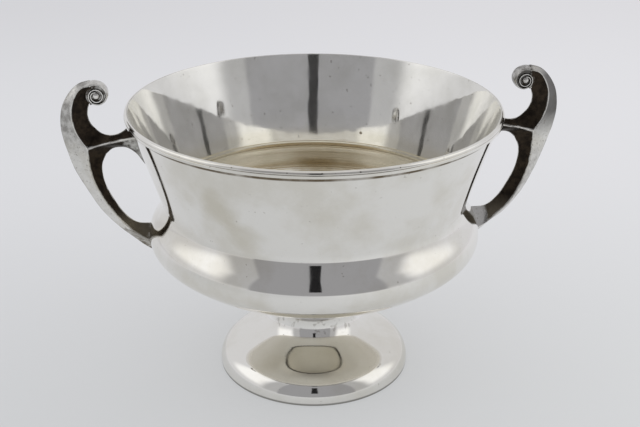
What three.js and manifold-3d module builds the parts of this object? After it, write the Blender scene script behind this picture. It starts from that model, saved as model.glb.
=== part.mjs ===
// Two-handled footed silver bowl. Millimetres, +Z up, the foot stands on z = 0.
// The bowl, the foot and the two wires turn round the Z axis; the handles lie in the XZ plane.
import * as THREE from 'three';
import { mergeVertices } from 'three/addons/utils/BufferGeometryUtils.js';
import Module from 'manifold-3d';

const wasm = await Module();
wasm.setup();

// Driving dimensions
const sheet = 1.0;          // thickness of the spun sheet
const seam = 0.3;           // gap left at each soldered seam
const turns = 48;           // facets round the axis
const handleHalf = 4.3;     // half thickness of a handle at its ridge
const scrollHalf = 4.0;     // half width of the rolled strap
const handleStep = 1.0;     // the right handle sits this much higher than the mean, the left lower
const rad = Math.PI / 180;

// One smooth stretch of profile between two points [radius, height]. tilt is the angle of the
// outward normal above the horizontal at each end, in degrees; the curve runs downwards.
function stretch(from, to, tiltFrom, tiltTo, steps, pull = 1) {
  const length = pull * Math.hypot(to[0] - from[0], to[1] - from[1]);
  const start = [Math.sin(tiltFrom * rad) * length, -Math.cos(tiltFrom * rad) * length];
  const end = [Math.sin(tiltTo * rad) * length, -Math.cos(tiltTo * rad) * length];
  const points = [];
  for (let i = 0; i <= steps; i += 1) {
    const t = i / steps;
    const a = 2 * t ** 3 - 3 * t ** 2 + 1;
    const b = t ** 3 - 2 * t ** 2 + t;
    const c = 3 * t ** 2 - 2 * t ** 3;
    const d = t ** 3 - t ** 2;
    points.push([0, 1].map((k) => a * from[k] + b * start[k] + c * to[k] + d * end[k]));
  }
  return points;
}

// An arc of a profile, from one angle to another in degrees
function arc(centre, radius, from, to, steps) {
  const points = [];
  for (let i = 0; i <= steps; i += 1) {
    const angle = (from + (to - from) * i / steps) * rad;
    points.push([centre[0] + radius * Math.cos(angle), centre[1] + radius * Math.sin(angle)]);
  }
  return points;
}

// Joins stretches end to end and leaves out a point that repeats the one before it
function joined(...parts) {
  const points = parts.flat();
  const apart = (p, q) => Math.hypot(p[0] - q[0], p[1] - q[1]) > 0.1;
  return points.filter((p, i) => i === 0 || apart(p, points[i - 1]));
}

// A profile moved sideways by a distance, positive towards the axis for a curve that runs down
function shifted(profile, distance) {
  return profile.map((p, i) => {
    const before = profile[Math.max(i - 1, 0)];
    const after = profile[Math.min(i + 1, profile.length - 1)];
    const along = [after[0] - before[0], after[1] - before[1]];
    const size = Math.hypot(...along);
    return [p[0] + along[1] / size * distance, p[1] - along[0] / size * distance];
  });
}

// Turns a closed triangle mesh the right way out
function facingOut(geometry) {
  geometry.deleteAttribute('normal');
  geometry.deleteAttribute('uv');
  const merged = mergeVertices(geometry, 1e-4);
  const position = merged.getAttribute('position');
  const index = Array.from(merged.getIndex().array);
  const corners = [];
  let volume = 0;
  const a = new THREE.Vector3();
  const b = new THREE.Vector3();
  const c = new THREE.Vector3();
  for (let i = 0; i < index.length; i += 3) {
    const [p, q, r] = [index[i], index[i + 1], index[i + 2]];
    if (p === q || q === r || r === p) continue;
    a.fromBufferAttribute(position, p);
    b.fromBufferAttribute(position, q);
    c.fromBufferAttribute(position, r);
    volume += a.dot(b.cross(c));
    corners.push([p, q, r]);
  }
  merged.setIndex(corners.map((t) => (volume < 0 ? [t[0], t[2], t[1]] : t)).flat());
  return merged;
}

// A solid of revolution round Z from a closed profile [radius, height]
function turned(profile) {
  const points = profile.map((p) => new THREE.Vector2(Math.max(p[0], 0), p[1]));
  const geometry = new THREE.LatheGeometry(points, turns);
  geometry.rotateX(Math.PI / 2);
  return facingOut(geometry);
}

// A solid through a row of closed sections that have the same number of points
function lofted(sections) {
  const count = sections[0].length;
  const vertices = sections.flat();
  const triangles = [];
  for (let s = 0; s + 1 < sections.length; s += 1) {
    for (let i = 0; i < count; i += 1) {
      const p = s * count + i;
      const q = s * count + (i + 1) % count;
      triangles.push([p, q, q + count], [p, q + count, p + count]);
    }
  }
  const last = (sections.length - 1) * count;
  for (let i = 1; i + 1 < count; i += 1) {
    triangles.push([0, i + 1, i], [last, last + i, last + i + 1]);
  }
  return meshOf(vertices, triangles);
}

function meshOf(vertices, triangles) {
  const geometry = new THREE.BufferGeometry();
  geometry.setAttribute('position', new THREE.Float32BufferAttribute(vertices.flat(), 3));
  geometry.setIndex(triangles.flat());
  return facingOut(geometry);
}

function toSolid(geometry) {
  const mesh = new wasm.Mesh({
    numProp: 3,
    vertProperties: new Float32Array(geometry.getAttribute('position').array),
    triVerts: new Uint32Array(geometry.getIndex().array),
  });
  return new wasm.Manifold(mesh);
}

function fromSolid(solid) {
  const mesh = solid.getMesh();
  const geometry = new THREE.BufferGeometry();
  geometry.setAttribute('position', new THREE.Float32BufferAttribute(mesh.vertProperties, 3));
  geometry.setIndex(Array.from(mesh.triVerts));
  return geometry;
}

// Bowl: flared wall, waist, rounded shoulder, full belly and a shallow underside
const wallTop = [97.95, 151.1];
const waist = [83.15, 104.3];
const shoulder = [87.4, 93.3];
const belly = [90.8, 83.5];
const turnUnder = [84.9, 73.5];
const bowlOutside = joined(
  stretch(wallTop, waist, -18, -17, 6),
  stretch(waist, shoulder, -17, 36, 4, 0.85),
  stretch(shoulder, belly, 36, 0, 4, 1.05),
  stretch(belly, turnUnder, 0, -50, 4, 1.1),
  stretch(turnUnder, [60, 57.6], -50, -61, 2),
  stretch([60, 57.6], [14, 43.5], -61, -84, 4),
  [[0, 42.9]],
);
const bowlInside = shifted(bowlOutside, sheet);
bowlInside[0] = [wallTop[0] - sheet, wallTop[1]];
bowlInside[bowlInside.length - 1] = [0, 42.9 + sheet];
const bowlBody = turned([...bowlInside.reverse(), ...bowlOutside]);

// Rim wire, standing on the edge of the sheet: its inner face goes on from the bowl's wall, its
// outer face has a plain band, a fine groove and a rounded crown
const rimWire = turned(joined(
  [[96.95, 151.4], [99.75, 151.4], [100, 151.65], [100, 152.75], [99.75, 153]],
  arc([98.25, 153.2], 1.6, 5, 97, 6),
  [[96.95, 151.4]],
));

// The solid bowl, a seam's width larger, that the foot and the handle ends are cut to
const keepOut = toSolid(turned([[0, 152], [wallTop[0] + 1.4, 152], ...shifted(bowlOutside, -seam), [0, 42]]));

// Foot: a hollow spool whose neck flares out under the bowl, a low dome and a rounded edge
const wireTop = 1.8;
const footOutside = joined(
  [[32, 47.8]],
  stretch([32, 46.2], [20.6, 33], -77, -3, 8, 1.12),
  stretch([20.6, 33], [23.1, 24.5], -3, 36, 3),
  stretch([23.1, 24.5], [28.5, 20], 36, 60.3, 2),
  stretch([28.5, 20], [40.8, 14.8], 60.3, 71.7, 3),
  stretch([40.8, 14.8], [47.85, 12.16], 71.7, 64, 2),
  arc([42.9, 2], 11.3, 64, 0, 6),
);
const footInside = shifted(footOutside, sheet).slice(1);
footInside[0] = [31, 47.8];
footInside[footInside.length - 1] = [54.2 - sheet, wireTop + seam];
footOutside[footOutside.length - 1] = [54.2, wireTop + seam];
const wholeFoot = toSolid(turned([...footOutside, ...footInside.reverse(), footOutside[0]]));
const foot = fromSolid(wholeFoot.subtract(keepOut));

// Foot edge wire: the flat band that the foot stands on, flush with the foot's edge
const footEdgeWire = turned([
  [50.6, 0],
  [54.2, 0],
  [54.2, wireTop],
  [50.6, wireTop],
  [50.6, 0],
]);

// Handle, drawn in the XZ plane as [distance from the axis, height]. Its front and back are each
// three facets that fall from a ridge to the outer edge, to the C above and to the finger loop.
function curve(points, count) {
  const through = points.map((p) => new THREE.Vector3(p[0], 0, p[1]));
  const line = new THREE.CatmullRomCurve3(through, false, 'centripetal');
  return line.getSpacedPoints(count).map((p) => [p.x, p.z]);
}

const upSteps = 8;
const downSteps = 14;
const armSteps = 6;

// Outer edge, from beside the fork up to the scroll and down to the tail
const outerFork = [131.9, 136.5];
const outerUp = curve(
  [outerFork, [133.1, 144], [133, 151], [131.3, 158.5], [127, 165.6], [122, 170], [116.4, 171.7]],
  upSteps,
);
const outerDownLeft = curve(
  [outerFork, [128.3, 123.7], [122.8, 112], [115.7, 99], [108.3, 90], [99.8, 82], [91.7, 75.2], [86.5, 72.6],
    [80, 72]],
  downSteps,
);
// The right casting is a little fuller below
const outerDownRight = curve(
  [outerFork, [127.6, 123], [123, 110.8], [117.1, 98.9], [107.9, 87], [100.3, 80.9], [91.8, 74], [86.5, 71.4],
    [80, 71]],
  downSteps,
);
// Upper C, from beside the fork up to the scroll and in to the wall
const hollowFork = [114.3, 145];
const hollowUp = curve([hollowFork, [117, 148.3], [118.3, 153], [117.2, 158.5], [115.5, 162.5]], upSteps);
const hollowArm = curve(
  [hollowFork, [111.4, 142.6], [107.7, 141.7], [104.2, 142.2], [100.8, 144], [97.2, 147], [93, 148]],
  armSteps,
);
// Finger loop, from beside the fork in to the wall and down to the tail
const loopFork = [110.4, 130.9];
const loopArm = curve(
  [loopFork, [107, 133.8], [102.7, 134.5], [98.2, 133.5], [94.5, 130], [90.2, 123.4], [84, 119]],
  armSteps,
);
const loopDown = curve(
  [loopFork, [113, 125], [112.4, 115], [108.4, 105.2], [102.8, 96], [97, 91.2], [90, 90.5], [80, 91]],
  downSteps,
);
// Ridge, from the fork up, in to the wall and down
const fork = [120, 135.4];
const ridgeUp = curve(
  [fork, [124, 142], [126.3, 149], [126.7, 156.5], [124.6, 163.4], [120.6, 168.6], [115.8, 170.1]],
  upSteps,
);
const ridgeArm = curve([fork, [113, 137.3], [104, 139.2], [97.2, 140.5], [86, 141.5]], armSteps);
// The right casting's ridge lies further out and lower on the way down
const ridgeDownLeft = curve(
  [fork, [119.8, 126.2], [117.2, 114.8], [111.2, 102.2], [102.6, 90.5], [93, 82.5], [80, 76]],
  downSteps,
);
const ridgeDownRight = curve(
  [fork, [120.1, 127.2], [118.9, 115.5], [116, 106], [110.3, 94.8], [104.6, 88.6], [96.5, 81.4], [80, 73.5]],
  downSteps,
);

function castHandle(outerDown, ridgeDown) {
  const vertices = [];
  const triangles = [];
  const seen = new Map();
  const vertex = (point, y) => {
    const key = `${point[0].toFixed(4)} ${point[1].toFixed(4)} ${y.toFixed(4)}`;
    if (!seen.has(key)) {
      seen.set(key, vertices.length);
      vertices.push([point[0], y, point[1]]);
    }
    return seen.get(key);
  };
  // A facet on the front and its mirror image on the back; flip keeps both facing out
  const facet = (edge, ridge, flip) => {
    for (const side of [-1, 1]) {
      for (let i = 0; i + 1 < edge.length; i += 1) {
        const a = vertex(edge[i], 0);
        const b = vertex(edge[i + 1], 0);
        const c = vertex(ridge[i + 1], side * handleHalf);
        const d = vertex(ridge[i], side * handleHalf);
        const quad = flip === (side > 0) ? [[a, b, c], [a, c, d]] : [[a, c, b], [a, d, c]];
        triangles.push(...quad);
      }
    }
  };
  const through = (one, other) => [...[...one].reverse(), ...other.slice(1)];
  facet(through(outerUp, outerDown), through(ridgeUp, ridgeDown), true);
  facet(through(hollowUp, hollowArm), through(ridgeUp, ridgeArm), false);
  facet(through(loopArm, loopDown), through(ridgeArm, ridgeDown), false);
  // Ends: at the scroll, in the wall and at the tail
  const ends = [
    [outerUp, ridgeUp, hollowUp],
    [hollowArm, ridgeArm, loopArm],
    [loopDown, ridgeDown, outerDown],
  ];
  for (const [one, ridge, other] of ends) {
    const a = vertex(one.at(-1), 0);
    const b = vertex(other.at(-1), 0);
    const front = vertex(ridge.at(-1), -handleHalf);
    const back = vertex(ridge.at(-1), handleHalf);
    triangles.push([a, b, front], [b, a, back]);
  }
  return meshOf(vertices, triangles);
}

// The rolled strap at the top: a spiral edge standing on a thinner disc, with a button in the middle
const rollCentre = [113.9, 164.2];
const rollPitch = 1.85;

function rolledStrap() {
  const sections = [];
  const steps = 44;
  for (let i = 0; i <= steps; i += 1) {
    const sweep = 620 * i / steps;
    const angle = (60 + sweep) * rad;
    const ridge = 6.25 - rollPitch * Math.max(sweep - 60, 0) / 360;
    const at = (radius, y) => [
      rollCentre[0] + radius * Math.cos(angle),
      y,
      rollCentre[1] + radius * Math.sin(angle),
    ];
    sections.push([
      at(ridge + 0.85, 0),
      at(ridge, scrollHalf),
      at(ridge - 0.85, 2.8),
      at(ridge - 0.85, -2.8),
      at(ridge, -scrollHalf),
    ]);
  }
  return lofted(sections);
}

function button(radius, half, steps) {
  const round = arc([0, 0], 1, -90, 90, steps);
  const points = round.map((p) => new THREE.Vector2(Math.max(p[0], 0) * radius, p[1] * half));
  const geometry = new THREE.LatheGeometry(points, 20);
  geometry.translate(rollCentre[0], 0, rollCentre[1]);
  return facingOut(geometry);
}

function rollDisc(radius, half) {
  const geometry = new THREE.CylinderGeometry(radius, radius, 2 * half, 28);
  geometry.translate(rollCentre[0], 0, rollCentre[1]);
  return facingOut(geometry);
}

function handle(side) {
  const lift = side * handleStep;
  const recess = toSolid(rollDisc(5.6, 8)).subtract(toSolid(rollDisc(7, 2.8)));
  const casting = side > 0 ? castHandle(outerDownRight, ridgeDownRight) : castHandle(outerDownLeft, ridgeDownLeft);
  const whole = toSolid(casting)
    .subtract(recess)
    .add(toSolid(rolledStrap()))
    .add(toSolid(rollDisc(5.7, 3.1)))
    .add(toSolid(button(1.7, scrollHalf + 0.1, 8)));
  const placed = side > 0 ? whole : whole.rotate([0, 0, 180]);
  return fromSolid(placed.translate([0, 0, lift]).subtract(keepOut));
}

// The assembly
const polished = { color: 0xc9c7c2, roughness: 0.12, metalness: 1 };
const cast = { color: 0xb9b5ad, roughness: 0.2, metalness: 1 };
const group = new THREE.Group();
group.name = 'two_handled_bowl';

function piece(name, geometry, look) {
  const mesh = new THREE.Mesh(geometry, new THREE.MeshStandardMaterial(look));
  mesh.name = name;
  group.add(mesh);
}

piece('bowl_body', bowlBody, polished);
piece('rim_wire', rimWire, polished);
piece('foot', foot, polished);
piece('foot_edge_wire', footEdgeWire, polished);
piece('handle_right', handle(1), cast);
piece('handle_left', handle(-1), cast);

export default group;
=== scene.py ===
# %% [markdown]
# # A two-handled silver bowl
# This lesson builds the looks of a footed silver bowl around its finished solid model. The solid
# model is loaded first and never changed. Every visible piece is then made again with finer
# curves and a real finish, and stands for one of the solids.

# %% Load the solid model
import math
import bmesh
import bpy
import numpy as np
from mathutils import Matrix, Vector


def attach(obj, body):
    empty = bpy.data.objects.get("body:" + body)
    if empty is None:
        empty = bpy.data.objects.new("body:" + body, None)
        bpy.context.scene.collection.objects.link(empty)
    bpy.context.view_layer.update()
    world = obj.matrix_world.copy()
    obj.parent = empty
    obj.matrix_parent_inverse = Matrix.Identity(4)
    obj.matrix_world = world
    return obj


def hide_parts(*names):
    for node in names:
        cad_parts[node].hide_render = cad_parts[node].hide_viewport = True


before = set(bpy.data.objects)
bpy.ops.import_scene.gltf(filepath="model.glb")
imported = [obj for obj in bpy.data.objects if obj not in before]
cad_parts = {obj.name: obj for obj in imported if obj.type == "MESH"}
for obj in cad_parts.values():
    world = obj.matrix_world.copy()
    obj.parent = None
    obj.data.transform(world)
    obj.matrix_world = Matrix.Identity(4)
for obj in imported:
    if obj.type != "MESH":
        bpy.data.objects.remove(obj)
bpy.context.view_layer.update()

print("solid model:", sorted(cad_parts))

# %% [markdown]
# ## The camera
# A long lens from a little above the rim shows the mouth as a narrow ellipse. The camera could be
# aimed with a constraint, but a matrix made of its right, up and back directions says exactly how
# it is turned, so the same view comes back every time.

# %% Camera
MM = 0.001
TAU = 2 * math.pi
IMAGE_WIDTH = 640
FOCAL_PIXELS = 1050
SENSOR_WIDTH = 36
HANDLE_TURN = math.radians(6.0)  # the handles stand this far off the picture plane
CAMERA_AWAY = 533.3 * MM
CAMERA_HEIGHT = 327.0 * MM
PAN, PITCH, ROLL = (math.radians(a) for a in (0.35, 23.91, 0.26))


def camera_matrix():
    heading = HANDLE_TURN + PAN
    forward = Vector((math.sin(heading) * math.cos(PITCH), math.cos(heading) * math.cos(PITCH),
                      -math.sin(PITCH)))
    level = Vector((math.cos(heading), -math.sin(heading), 0))
    upright = level.cross(forward)
    right = level * math.cos(ROLL) + upright * math.sin(ROLL)
    up = upright * math.cos(ROLL) - level * math.sin(ROLL)
    turn_to = Matrix((right, up, -forward)).transposed().to_4x4()
    stand = Vector((-math.sin(HANDLE_TURN), -math.cos(HANDLE_TURN), 0)) * CAMERA_AWAY
    stand.z = CAMERA_HEIGHT
    return Matrix.Translation(stand) @ turn_to


lens = bpy.data.cameras.new("studio_camera")
lens.sensor_width = SENSOR_WIDTH
lens.lens = FOCAL_PIXELS * SENSOR_WIDTH / IMAGE_WIDTH
lens.clip_start = 10 * MM
camera = bpy.data.objects.new("studio_camera", lens)
camera.matrix_world = camera_matrix()
bpy.context.scene.collection.objects.link(camera)
bpy.context.scene.camera = camera
bpy.context.scene.view_settings.view_transform = "Standard"
print("camera at", [round(v, 3) for v in camera.location])

# %% [markdown]
# ## A short way to write nodes
# Materials, the world and the lathe below are all node trees. Adding a node and setting its
# sockets takes several lines each time, so a few small helpers keep the cells readable.


# %% Node helpers
def add(tree, kind, values=None, **settings):
    """Adds a node. settings are its properties; values are its input sockets by name or number."""
    node = tree.nodes.new(kind)
    for key, value in settings.items():
        setattr(node, key, value)
    for key, value in (values or {}).items():
        if isinstance(value, bpy.types.NodeSocket):
            tree.links.new(value, node.inputs[key])
        else:
            node.inputs[key].default_value = value
    return node


def maths(tree, operation, *values, clamp=False):
    """A Math node; each value is a number or another node's output."""
    node = add(tree, "ShaderNodeMath", dict(enumerate(values)), operation=operation, use_clamp=clamp)
    return node.outputs[0]


def blend(tree, share, below, above):
    """Mixes two colours by a share between 0 and 1."""
    values = {key: (*value, 1) if isinstance(value, tuple) else value
              for key, value in ((0, share), (6, below), (7, above))}
    return add(tree, "ShaderNodeMix", values, data_type="RGBA").outputs[2]


# %% Steps and bands
def ramp(tree, value, low, high, start=0.0, end=1.0):
    """start below low, end above high, and a smooth step between them."""
    node = add(tree, "ShaderNodeMapRange", {0: value, 1: low, 2: high, 3: start, 4: end},
               interpolation_type="SMOOTHSTEP")
    return node.outputs[0]


def ramp_mm(tree, length, low, high, start=0.0, end=1.0):
    """The same for a length, with its two limits in mm."""
    return ramp(tree, length, low * MM, high * MM, start, end)


def between(tree, value, rise, fall):
    """1 between two smooth steps: up over the range rise and down again over the range fall."""
    return maths(tree, "MULTIPLY", ramp(tree, value, *rise), ramp(tree, value, *fall, 1, 0))


def between_mm(tree, length, rise, fall):
    return between(tree, length, [v * MM for v in rise], [v * MM for v in fall])


# %% [markdown]
# ## The room
# Polished silver has almost no colour of its own: it shows the room. In the studio pale walls
# stand round the bowl, two soft boxes stand left and right, and the front is open towards the
# camera, so it is darker there. Real walls could be built, but they would hide the bowl from
# other sides. The world can paint the same room by direction. Only reflections see that room:
# soft light comes from an even pale level, and the camera sees a plain backdrop.

# %% Directions in the room
world = bpy.data.worlds.new("studio")
bpy.context.scene.world = world
world.use_nodes = True
room = world.node_tree
room.nodes.clear()
direction = add(room, "ShaderNodeTexCoord").outputs["Generated"]
turned = add(room, "ShaderNodeVectorRotate", {"Vector": direction, "Angle": HANDLE_TURN},
             rotation_type="Z_AXIS")
towards = add(room, "ShaderNodeSeparateXYZ", {0: turned.outputs[0]}).outputs
outwards = maths(room, "SQRT", maths(room, "ADD", maths(room, "MULTIPLY", towards[0], towards[0]),
                                     maths(room, "MULTIPLY", towards[1], towards[1])))
bearing = maths(room, "ARCTAN2", towards[0], maths(room, "MULTIPLY", towards[1], -1))
elevation = maths(room, "ARCTAN2", towards[2], outwards)


def patch(left, right, low, high, soft):
    """1 inside a patch between two bearings and two elevations in degrees, with soft edges."""
    def edge(degrees):
        return math.radians(degrees - soft), math.radians(degrees + soft)

    return maths(room, "MULTIPLY", between(room, bearing, edge(left), edge(right)),
                 between(room, elevation, edge(low), edge(high)))


# %% Painting the room
PALE_WALL = (0.70, 0.70, 0.715)
FLANK = (0.47, 0.47, 0.48)
OPENING = (0.33, 0.33, 0.345)
SOFT_BOX = (1.06, 1.06, 1.06)
SOFT_LIGHT = (0.92, 0.92, 0.94)
BACKDROP = (0.69, 0.69, 0.72)

seen = PALE_WALL
for paint, edges in ((FLANK, (-62, 68, 2, 58, 6)), (OPENING, (-42, 48, 0, 63, 2)),
                     (SOFT_BOX, (-112, -66, 13, 54, 8)), (SOFT_BOX, (68, 112, 12, 54, 9))):
    seen = blend(room, patch(*edges), seen, paint)
ray = add(room, "ShaderNodeLightPath")
seen = blend(room, ray.outputs["Is Glossy Ray"], SOFT_LIGHT, seen)
seen = blend(room, ray.outputs["Is Camera Ray"], seen, BACKDROP)
light = add(room, "ShaderNodeBackground", {"Color": seen, "Strength": 1.0})
add(room, "ShaderNodeOutputWorld", {"Surface": light.outputs[0]})
print("world nodes:", len(room.nodes))

# %% [markdown]
# ## The floor and the camera's reflection
# The bowl stands on a large sheet of pale paper. Its colour is painted darker near the camera,
# far behind the bowl and on the left: painted shade for how the light falls over the sheet, given
# without a lamp, and a broad soft shadow near the bowl. A share of glow, painted light, keeps it
# pale while the bowl's shadow still falls on it. The camera on its stand is near enough to be seen
# in the silver, so a dark card at its place stands for it; reflections see the card, and nothing
# else does.

# %% Floor
FLOOR_HALF = 6.0
NEAR_LEFT, NEAR_RIGHT = (0.625, 0.635, 0.645), (0.73, 0.74, 0.745)
BEHIND_LEFT, BEHIND_RIGHT = (0.73, 0.735, 0.755), (0.785, 0.785, 0.805)
FAR_LEFT, FAR_RIGHT = (0.675, 0.675, 0.695), (0.74, 0.735, 0.755)
GLOW_SHARE = 0.55


def sheet(name, corners):
    """One face with four corners, for the studio."""
    mesh = bpy.data.meshes.new(name)
    mesh.from_pydata(corners, [], [(0, 1, 2, 3)])
    made = bpy.data.objects.new(name, mesh)
    bpy.context.scene.collection.objects.link(made)
    return made


floor = sheet("floor", [(x * FLOOR_HALF, y * FLOOR_HALF, 0)
                        for x, y in ((-1, -1), (1, -1), (1, 1), (-1, 1))])
paper = bpy.data.materials.new("floor_paper")
paper.use_nodes = True
tree = paper.node_tree
shader = tree.nodes["Principled BSDF"]
shader.inputs["Roughness"].default_value = 0.9
shader.inputs["Specular IOR Level"].default_value = 0.0
spread = add(tree, "ShaderNodeSeparateXYZ", {0: add(tree, "ShaderNodeTexCoord").outputs["Object"]}).outputs
# Painted shade: the paper is darker near the camera, far off and on the left, for how light falls over the
# sheet and a broad soft shadow near the bowl.
rightwards = ramp(tree, spread[0], -0.5, 0.45)
near, behind, far = (blend(tree, rightwards, *pair) for pair in (
    (NEAR_LEFT, NEAR_RIGHT), (BEHIND_LEFT, BEHIND_RIGHT), (FAR_LEFT, FAR_RIGHT)))
paper_with_painted_shade = blend(tree, ramp(tree, spread[1], -0.12, 0.35), near, behind)
paper_with_painted_shade = blend(tree, ramp(tree, spread[1], 0.4, 1.0), paper_with_painted_shade, far)
tree.links.new(paper_with_painted_shade, shader.inputs["Base Color"])
# Painted light: for the camera and for reflections part of the paper glows, which keeps it pale and weakens
# the bowl's shadow.
paper_glow = add(tree, "ShaderNodeEmission", {"Color": paper_with_painted_shade})
ray = add(tree, "ShaderNodeLightPath").outputs
looked_at = maths(tree, "MAXIMUM", ray["Is Camera Ray"], ray["Is Glossy Ray"])
glowing = maths(tree, "MULTIPLY", looked_at, GLOW_SHARE)
mixed = add(tree, "ShaderNodeMixShader", {0: glowing, 1: shader.outputs[0], 2: paper_glow.outputs[0]})
tree.links.new(mixed.outputs[0], tree.nodes["Material Output"].inputs["Surface"])
floor.data.materials.append(paper)
print("floor:", 2 * FLOOR_HALF, "m square")

# %% The camera's own shape
CARD_LEFT, CARD_RIGHT, CARD_LOW, CARD_HIGH = -27 * MM, 43 * MM, 195 * MM, 620 * MM
card = sheet("camera_card", [(CARD_LEFT, 0, CARD_LOW), (CARD_RIGHT, 0, CARD_LOW),
                             (CARD_RIGHT, 0, CARD_HIGH), (CARD_LEFT, 0, CARD_HIGH)])
card.location = (camera.location.x, camera.location.y, 0)
card.rotation_euler = (0, 0, -HANDLE_TURN)
card.visible_camera = card.visible_diffuse = card.visible_shadow = False
black = bpy.data.materials.new("black_camera")
black.use_nodes = True
tree = black.node_tree
tree.nodes.clear()
on_card = add(tree, "ShaderNodeTexCoord").outputs["Object"]
grain = add(tree, "ShaderNodeTexNoise", {"Vector": on_card, "Scale": 30.0})
dark_glow = blend(tree, grain.outputs["Fac"], (0.008, 0.008, 0.009), (0.022, 0.021, 0.022))
glow = add(tree, "ShaderNodeEmission", {"Color": dark_glow})
add(tree, "ShaderNodeOutputMaterial", {"Surface": glow.outputs[0]})
card.data.materials.append(black)
print("camera card:", [round(v, 3) for v in card.dimensions])

# %% [markdown]
# ## Turned pieces
# The bowl, its rim wire, the foot and the foot's edge are all round: on the real object the bowl
# and the foot were spun over a wooden former and the wires were bent into rings. A profile turned
# round the axis describes each of them. The Screw modifier can do that, but a Geometry Nodes
# tree can also write how far along the profile each point lies, which the finishes use later to
# tell the inside of the bowl from the outside.


# %% Profile curves
def stretch(start, end, tilt_start, tilt_end, steps, pull=1.0):
    """A smooth run of profile between two points (radius, height) in mm. tilt is the angle of the
    outward normal above the horizontal, in degrees; the run goes downwards."""
    a, b = np.array(start, float), np.array(end, float)
    length = pull * np.linalg.norm(b - a)
    leave, arrive = (np.array((math.sin(math.radians(t)), -math.cos(math.radians(t)))) * length
                     for t in (tilt_start, tilt_end))
    t = np.linspace(0, 1, steps + 1)[:, None]
    return ((2 * t**3 - 3 * t**2 + 1) * a + (t**3 - 2 * t**2 + t) * leave
            + (3 * t**2 - 2 * t**3) * b + (t**3 - t**2) * arrive)


def arc(centre, radius, start, end, steps):
    angles = np.radians(np.linspace(start, end, steps + 1))
    return np.stack([centre[0] + radius * np.cos(angles), centre[1] + radius * np.sin(angles)], 1)


def joined(*runs):
    """Runs end to end, without a point that repeats the one before it."""
    points = [p for run in runs for p in np.atleast_2d(run)]
    kept = [points[0]]
    for p in points[1:]:
        if np.linalg.norm(p - kept[-1]) > 0.05:
            kept.append(p)
    return np.array(kept)


def shifted(profile, distance):
    """The profile moved sideways, towards the axis for a run that goes down."""
    along = np.gradient(profile, axis=0)
    along /= np.linalg.norm(along, axis=1)[:, None]
    return profile + distance * np.stack([along[:, 1], -along[:, 0]], 1)


# %% The lathe
MERGED = 0.002 * MM  # points nearer than this become one


def make_lathe():
    tree = bpy.data.node_groups.new("turn_on_the_lathe", "GeometryNodeTree")
    face = tree.interface
    face.new_socket("Profile", in_out="INPUT", socket_type="NodeSocketGeometry")
    face.new_socket("Facets Round", in_out="INPUT", socket_type="NodeSocketInt").default_value = 192
    face.new_socket("Finish", in_out="INPUT", socket_type="NodeSocketMaterial")
    face.new_socket("Piece", in_out="OUTPUT", socket_type="NodeSocketGeometry")
    given = tree.nodes.new("NodeGroupInput")
    count = add(tree, "GeometryNodeAttributeDomainSize", {0: given.outputs["Profile"]}).outputs["Point Count"]
    round_count = maths(tree, "ADD", given.outputs["Facets Round"], 1)
    grid = add(tree, "GeometryNodeMeshGrid", {"Size X": 1.0, "Size Y": 1.0, "Vertices X": count,
                                              "Vertices Y": round_count})
    index = add(tree, "GeometryNodeInputIndex").outputs[0]
    row = maths(tree, "FLOOR", maths(tree, "DIVIDE", maths(tree, "ADD", index, 0.5), round_count))
    step = maths(tree, "SUBTRACT", index, maths(tree, "MULTIPLY", row, round_count))
    angle = maths(tree, "MULTIPLY", maths(tree, "DIVIDE", step, given.outputs["Facets Round"]), TAU)
    sample = add(tree, "GeometryNodeSampleIndex", {"Geometry": given.outputs["Profile"]},
                 data_type="FLOAT_VECTOR")
    tree.links.new(add(tree, "GeometryNodeInputPosition").outputs[0], sample.inputs["Value"])
    tree.links.new(row, sample.inputs["Index"])
    point = add(tree, "ShaderNodeSeparateXYZ", {0: sample.outputs[0]})
    place = add(tree, "ShaderNodeCombineXYZ", {
        "X": maths(tree, "MULTIPLY", point.outputs[0], maths(tree, "COSINE", angle)),
        "Y": maths(tree, "MULTIPLY", point.outputs[0], maths(tree, "SINE", angle)),
        "Z": point.outputs[2],
    })
    moved = add(tree, "GeometryNodeSetPosition", {"Geometry": grid.outputs[0], "Position": place.outputs[0]})
    share = maths(tree, "DIVIDE", row, maths(tree, "SUBTRACT", count, 1))
    marked = add(tree, "GeometryNodeStoreNamedAttribute",
                 {"Geometry": moved.outputs[0], "Name": "along_profile", "Value": share}, data_type="FLOAT")
    closed = add(tree, "GeometryNodeMergeByDistance", {"Geometry": marked.outputs[0], "Distance": MERGED})
    smooth = add(tree, "GeometryNodeSetShadeSmooth", {"Geometry": closed.outputs[0], "Shade Smooth": True})
    real = add(tree, "GeometryNodeRealizeInstances", {"Geometry": smooth.outputs[0]})
    done = add(tree, "GeometryNodeSetMaterial", {"Geometry": real.outputs[0],
                                                 "Material": given.outputs["Finish"]})
    add(tree, "NodeGroupOutput", {0: done.outputs[0]})
    return tree


lathe = make_lathe()
print("lathe nodes:", len(lathe.nodes))


# %% Turning one piece
def plain_mesh(maker, name):
    """The result of an object's modifiers as a plain mesh, closed and facing out."""
    done = maker.evaluated_get(bpy.context.evaluated_depsgraph_get())
    mesh = bpy.data.meshes.new_from_object(done)
    mesh.name = name
    bpy.data.objects.remove(maker)
    work = bmesh.new()
    work.from_mesh(mesh)
    bmesh.ops.remove_doubles(work, verts=work.verts, dist=MERGED / 2)
    bmesh.ops.dissolve_degenerate(work, edges=work.edges, dist=MERGED / 4)
    bmesh.ops.recalc_face_normals(work, faces=work.faces)
    open_edges = sum(1 for e in work.edges if len(e.link_faces) != 2)
    work.to_mesh(mesh)
    work.free()
    piece = bpy.data.objects.new(name, mesh)
    bpy.context.scene.collection.objects.link(piece)
    print(f"{name}: {len(mesh.polygons)} faces, {open_edges} open edges")
    return piece


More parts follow.
